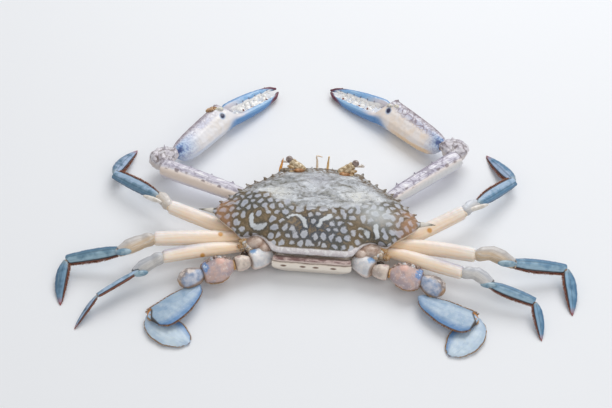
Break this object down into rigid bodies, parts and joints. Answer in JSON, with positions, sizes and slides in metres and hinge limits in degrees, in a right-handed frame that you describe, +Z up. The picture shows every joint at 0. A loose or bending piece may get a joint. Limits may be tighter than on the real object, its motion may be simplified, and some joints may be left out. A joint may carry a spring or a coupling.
{
  "type": "blue swimming crab life-size model",
  "caption": "Life-size still model of a blue swimming crab resting on its underside, claws reaching forward and rear paddles spread.",
  "frame": {"origin": "on the surface the crab rests on, on the midline of the flat underside, about below the line between the two side spines", "axes": "+Y toward the crab's front, +X toward the crab's right side, +Z up"},
  "size_m": [0.3121, 0.2361, 0.0311],
  "materials": {
    "shell": "dark olive reticulation with pale lavender blotches, slightly glossy",
    "underbody": "cream to pinkish white, smooth",
    "stalk": "amber tan",
    "eye": "grey brown, shiny",
    "feeler": "pale orange",
    "claw_arm": "lavender grey with white blotches and purple outlines",
    "claw_hand": "lilac blue mottled, cream near side, blue finger",
    "claw_finger": "sky blue with a maroon purple tip and white teeth",
    "leg_upper": "translucent peach cream turning white",
    "leg_blade": "steel blue with rust red fringed edges",
    "swim_root": "pale grey white",
    "swim_arm": "lilac pink and blue grey",
    "paddle": "light blue with thin brown edge"
  },
  "bodies": {
    "root": {"abdomen": "underbody", "antenna_l": "feeler", "antenna_r": "feeler", "antennule_l": "feeler", "antennule_r": "feeler", "carapace": "shell", "claw_carpus_l": "claw_arm", "claw_carpus_r": "claw_arm", "claw_dactyl_l": "claw_finger", "claw_dactyl_r": "claw_finger", "claw_ischium_l": "claw_arm", "claw_ischium_r": "claw_arm", "claw_merus_l": "claw_arm", "claw_merus_r": "claw_arm", "claw_palm_l": "claw_hand", "claw_palm_r": "claw_hand", "eye_l": "eye", "eye_r": "eye", "eyestalk_l": "stalk", "eyestalk_r": "stalk", "maxilliped_l": "underbody", "maxilliped_r": "underbody", "sternum": "underbody", "swim_basis_l": "swim_root", "swim_basis_r": "swim_root", "swim_carpus_l": "swim_arm", "swim_carpus_r": "swim_arm", "swim_coxa_l": "swim_root", "swim_coxa_r": "swim_root", "swim_dactyl_l": "paddle", "swim_dactyl_r": "paddle", "swim_merus_l": "swim_arm", "swim_merus_r": "swim_arm", "swim_propodus_l": "paddle", "swim_propodus_r": "paddle", "walk1_carpus_l": "leg_upper", "walk1_carpus_r": "leg_upper", "walk1_dactyl_l": "leg_blade", "walk1_dactyl_r": "leg_blade", "walk1_merus_l": "leg_upper", "walk1_merus_r": "leg_upper", "walk1_propodus_l": "leg_blade", "walk1_propodus_r": "leg_blade", "walk2_carpus_l": "leg_upper", "walk2_carpus_r": "leg_upper", "walk2_dactyl_l": "leg_blade", "walk2_dactyl_r": "leg_blade", "walk2_merus_l": "leg_upper", "walk2_merus_r": "leg_upper", "walk2_propodus_l": "leg_blade", "walk2_propodus_r": "leg_blade", "walk3_carpus_l": "leg_upper", "walk3_carpus_r": "leg_upper", "walk3_dactyl_l": "leg_blade", "walk3_dactyl_r": "leg_blade", "walk3_merus_l": "leg_upper", "walk3_merus_r": "leg_upper", "walk3_propodus_l": "leg_blade", "walk3_propodus_r": "leg_blade"}
  },
  "joints": []
}
